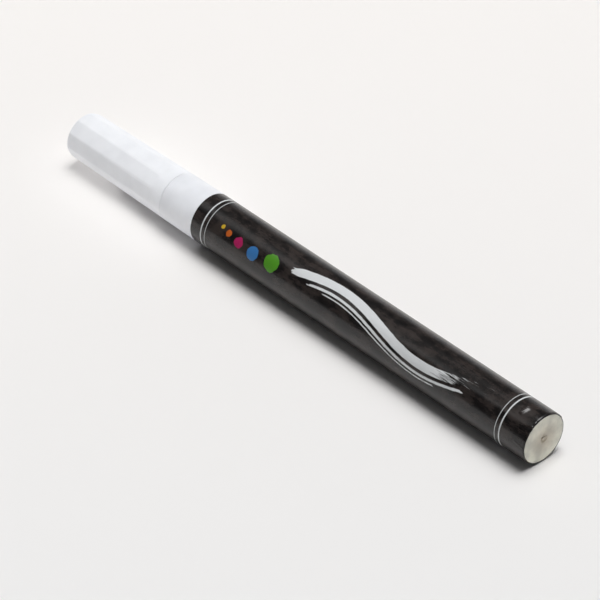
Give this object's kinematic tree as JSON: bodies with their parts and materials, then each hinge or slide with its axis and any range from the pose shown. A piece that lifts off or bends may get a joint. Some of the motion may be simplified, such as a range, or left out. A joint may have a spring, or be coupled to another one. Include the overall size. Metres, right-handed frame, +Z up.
{
  "type": "paint marker",
  "caption": "Slim round paint marker with a faceted pull-off cap, a spring-loaded valve nib and a film-wrapped barrel.",
  "frame": {"origin": "midway along the closed marker, on the surface it lies on, under its axis", "axes": "+X along the marker towards its tail, the cap towards -X; +Z up"},
  "size_m": [0.138, 0.0116, 0.0115],
  "materials": {
    "cap_plastic": "satin moulded white",
    "collar_plastic": "satin moulded white",
    "liner_plastic": "soft natural plastic",
    "guide_plastic": "natural moulded plastic",
    "nib_fibre": "bonded fibre",
    "valve_plastic": "natural moulded plastic",
    "gasket_rubber": "matte",
    "spring_steel": "drawn wire",
    "barrel_plastic": "translucent natural plastic",
    "black_film": "glossy printed shrink film",
    "ball_steel": "polished"
  },
  "bodies": {
    "marker_body": {"front_section": "collar_plastic", "nib_guide": "guide_plastic", "valve_seat": "valve_plastic", "seat_gasket": "gasket_rubber", "valve_spring": "spring_steel", "spring_cage": "valve_plastic", "barrel": "barrel_plastic", "label_sleeve": "black_film"},
    "cap": {"cap_shell": "cap_plastic", "cap_liner": "liner_plastic"},
    "nib_and_stem": {"nib": "nib_fibre", "valve_stem": "valve_plastic"},
    "ball": {"mixing_ball": "ball_steel"}
  },
  "joints": [
    {"name": "cap_pull", "type": "slide", "parent": "marker_body", "child": "cap", "axis": [-1, 0, 0], "range_m": [0, 0.045]},
    {"name": "nib_press", "type": "slide", "parent": "marker_body", "child": "nib_and_stem", "axis": [1, 0, 0], "range_m": [0, 0.002], "stiffness_N_per_m": 800, "springref_m": -0.002, "deforming": ["valve_spring"]},
    {"name": "ball_travel", "type": "slide", "parent": "marker_body", "child": "ball", "axis": [1, 0, 0], "range_m": [-0.05665, 0.0147]}
  ]
}
